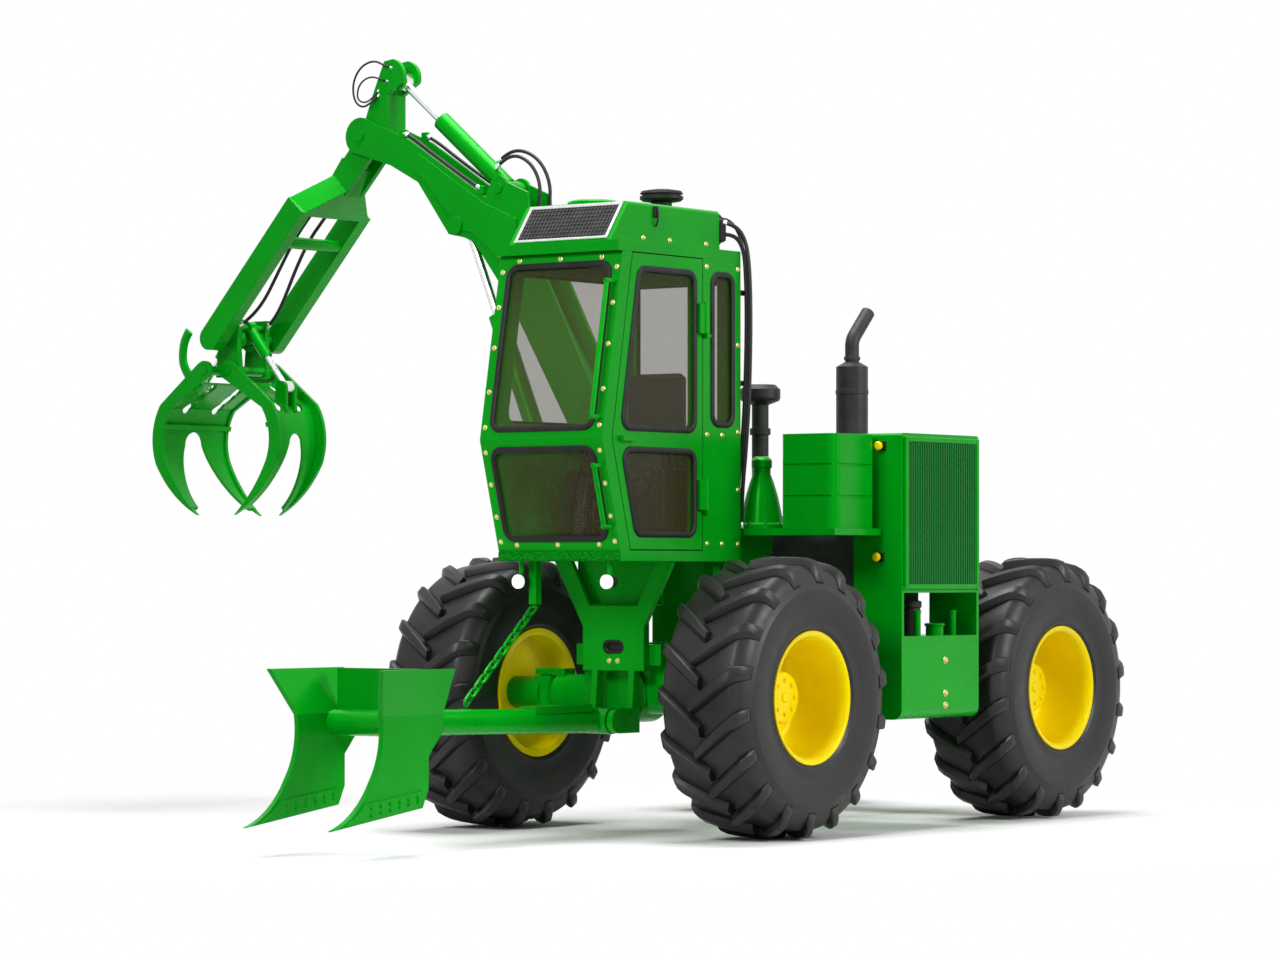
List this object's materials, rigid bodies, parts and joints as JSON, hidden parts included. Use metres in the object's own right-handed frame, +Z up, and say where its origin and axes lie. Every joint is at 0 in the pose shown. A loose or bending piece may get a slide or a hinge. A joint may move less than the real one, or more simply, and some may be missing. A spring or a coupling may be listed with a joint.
{
  "type": "sugarcane loader",
  "caption": "Wheeled sugarcane loader with a tall glazed cab, a slewing bent boom with a cane grapple, and a front piler on a chain-held arm.",
  "frame": {"origin": "on the ground, midway between the axles and between the wheels", "axes": "+X forward, +Y to the machine's left, +Z up"},
  "size_m": [6.485, 5.415, 4.655],
  "materials": {
    "green_paint": "gloss",
    "yellow_paint": "gloss",
    "tyre": "matte",
    "tinted_glass": "clear",
    "black_steel": "satin",
    "grille_paint": "satin",
    "grey_mesh": "satin",
    "black_plastic": "matte",
    "seat_cover": "woven",
    "lamp": "gloss",
    "rod_chrome": "polished"
  },
  "bodies": {
    "chassis": {"main_frame": "green_paint", "nose_frame": "green_paint", "front_axle": "green_paint", "rear_axle": "green_paint", "cab_floor": "green_paint", "cab_front": "green_paint", "cab_left": "green_paint", "cab_right": "green_paint", "cab_rear": "green_paint", "cab_roof": "green_paint", "cab_glass": "tinted_glass", "roof_unit": "green_paint", "roof_grille": "grey_mesh", "roof_precleaner": "black_plastic", "seat": "seat_cover", "control_column": "black_steel", "engine_block": "black_steel", "radiator_housing": "green_paint", "radiator_grille": "grille_paint", "ribbed_tank": "green_paint", "fuel_tank": "green_paint", "muffler": "black_steel", "air_intake": "black_steel", "headlamps": "lamp", "chain": "green_paint"},
    "door": {"door": "green_paint", "door_glass": "tinted_glass"},
    "wheel_front_left": {"tyre_front_left": "tyre", "rim_front_left": "yellow_paint"},
    "wheel_front_right": {"tyre_front_right": "tyre", "rim_front_right": "yellow_paint"},
    "wheel_rear_left": {"tyre_rear_left": "tyre", "rim_rear_left": "yellow_paint"},
    "wheel_rear_right": {"tyre_rear_right": "tyre", "rim_rear_right": "yellow_paint"},
    "knuckle_left": {"knuckle_left": "green_paint"},
    "knuckle_right": {"knuckle_right": "green_paint"},
    "mast": {"mast": "green_paint"},
    "boom": {"boom": "green_paint"},
    "lift_barrel": {"lift_barrel": "green_paint"},
    "lift_rod": {"lift_rod": "rod_chrome"},
    "stick": {"stick": "green_paint"},
    "stick_barrel": {"stick_barrel": "green_paint"},
    "stick_rod": {"stick_rod": "rod_chrome"},
    "grapple_head": {"grapple_head": "green_paint"},
    "jaw_outer": {"jaw_outer": "green_paint"},
    "jaw_inner": {"jaw_inner": "green_paint"},
    "jaw_outer_barrel": {"jaw_outer_barrel": "green_paint"},
    "jaw_outer_rod": {"jaw_outer_rod": "rod_chrome"},
    "jaw_inner_barrel": {"jaw_inner_barrel": "green_paint"},
    "jaw_inner_rod": {"jaw_inner_rod": "rod_chrome"},
    "piler": {"piler": "green_paint"}
  },
  "joints": [
    {"name": "wheel_front_left_spin", "type": "hinge", "parent": "knuckle_left", "child": "wheel_front_left", "pos_m": [1.335, 0.965, 0.79], "axis": [0, 1, 0], "continuous": true},
    {"name": "wheel_front_right_spin", "type": "hinge", "parent": "knuckle_right", "child": "wheel_front_right", "pos_m": [1.335, -0.965, 0.79], "axis": [0, 1, 0], "continuous": true},
    {"name": "wheel_rear_left_spin", "type": "hinge", "parent": "chassis", "child": "wheel_rear_left", "pos_m": [-1.335, 0.965, 0.79], "axis": [0, 1, 0], "continuous": true},
    {"name": "wheel_rear_right_spin", "type": "hinge", "parent": "chassis", "child": "wheel_rear_right", "pos_m": [-1.335, -0.965, 0.79], "axis": [0, 1, 0], "continuous": true},
    {"name": "steer_left", "type": "hinge", "parent": "chassis", "child": "knuckle_left", "pos_m": [1.335, 0.64, 0.79], "axis": [0, 0, 1], "range_deg": [-22, 22]},
    {"name": "steer_right", "type": "hinge", "parent": "chassis", "child": "knuckle_right", "pos_m": [1.335, -0.64, 0.79], "axis": [0, 0, 1], "range_deg": [-22, 22]},
    {"name": "door_swing", "type": "hinge", "parent": "chassis", "child": "door", "pos_m": [1.275, 0.45, 2.4], "axis": [0, 0, 1], "range_deg": [0, 75]},
    {"name": "mast_slew", "type": "hinge", "parent": "chassis", "child": "mast", "pos_m": [0.6, -0.65, 1.72], "axis": [0, 0, 1], "range_deg": [-25, 90]},
    {"name": "boom_lift", "type": "hinge", "parent": "mast", "child": "boom", "pos_m": [0.6, -0.68, 2.13], "axis": [-1, 0, 0], "range_deg": [-35, 20]},
    {"name": "lift_barrel_turn", "type": "hinge", "parent": "mast", "child": "lift_barrel", "pos_m": [0.6, -1.11, 1.88], "axis": [-1, 0, 0], "range_deg": [-36.07, 20.86]},
    {"name": "lift_rod_slide", "type": "slide", "parent": "lift_barrel", "child": "lift_rod", "axis": [0, -0.3816, 0.9243], "range_m": [-0.29978, 0.17216]},
    {"name": "stick_swing", "type": "hinge", "parent": "boom", "child": "stick", "pos_m": [0.6, -2.59, 4.19], "axis": [-1, 0, 0], "range_deg": [-45, 50]},
    {"name": "stick_barrel_turn", "type": "hinge", "parent": "boom", "child": "stick_barrel", "pos_m": [0.6, -1.495, 3.809], "axis": [-1, 0, 0], "range_deg": [-2.27, 2.1]},
    {"name": "stick_rod_slide", "type": "slide", "parent": "stick_barrel", "child": "stick_rod", "axis": [0, -0.764, 0.6453], "range_m": [-0.33913, 0.30542]},
    {"name": "grapple_swing", "type": "hinge", "parent": "stick", "child": "grapple_head", "pos_m": [0.6, -3.66, 2.965], "axis": [1, 0, 0], "range_deg": [-80, 75]},
    {"name": "jaw_outer_close", "type": "hinge", "parent": "grapple_head", "child": "jaw_outer", "pos_m": [0.6, -3.72, 2.765], "axis": [1, 0, 0], "range_deg": [-25, 6]},
    {"name": "jaw_outer_barrel_turn", "type": "hinge", "parent": "grapple_head", "child": "jaw_outer_barrel", "pos_m": [0.6, -3.71, 3.04], "axis": [1, 0, 0], "range_deg": [-14.6, 3.94]},
    {"name": "jaw_outer_rod_slide", "type": "slide", "parent": "jaw_outer_barrel", "child": "jaw_outer_rod", "axis": [0, -0.6272, -0.7789], "range_m": [-0.08209, 0.02122]},
    {"name": "jaw_inner_close", "type": "hinge", "parent": "grapple_head", "child": "jaw_inner", "pos_m": [0.6, -3.6, 2.765], "axis": [-1, 0, 0], "range_deg": [-25, 6]},
    {"name": "jaw_inner_barrel_turn", "type": "hinge", "parent": "grapple_head", "child": "jaw_inner_barrel", "pos_m": [0.6, -3.61, 3.04], "axis": [-1, 0, 0], "range_deg": [-14.6, 3.94]},
    {"name": "jaw_inner_rod_slide", "type": "slide", "parent": "jaw_inner_barrel", "child": "jaw_inner_rod", "axis": [0, 0.6272, -0.7789], "range_m": [-0.08209, 0.02122]},
    {"name": "piler_lift", "type": "hinge", "parent": "chassis", "child": "piler", "pos_m": [1.69, 0, 0.65], "axis": [0, -1, 0], "range_deg": [-2, 28], "deforming": ["chain"]}
  ],
  "couplings": [
    {"joint": "steer_right", "follows": "steer_left", "ratio": 1},
    {"joint": "lift_barrel_turn", "follows": "boom_lift", "ratio": 1.0141},
    {"joint": "lift_rod_slide", "follows": "boom_lift", "m_per_rad": 0.48747},
    {"joint": "stick_barrel_turn", "follows": "stick_swing", "ratio": -0.034025},
    {"joint": "stick_rod_slide", "follows": "stick_swing", "m_per_rad": -0.38632},
    {"joint": "jaw_outer_barrel_turn", "follows": "jaw_outer_close", "ratio": 0.56124},
    {"joint": "jaw_outer_rod_slide", "follows": "jaw_outer_close", "m_per_rad": 0.18356},
    {"joint": "jaw_inner_close", "follows": "jaw_outer_close", "ratio": 1},
    {"joint": "jaw_inner_barrel_turn", "follows": "jaw_outer_close", "ratio": 0.56124},
    {"joint": "jaw_inner_rod_slide", "follows": "jaw_outer_close", "m_per_rad": 0.18356}
  ]
}
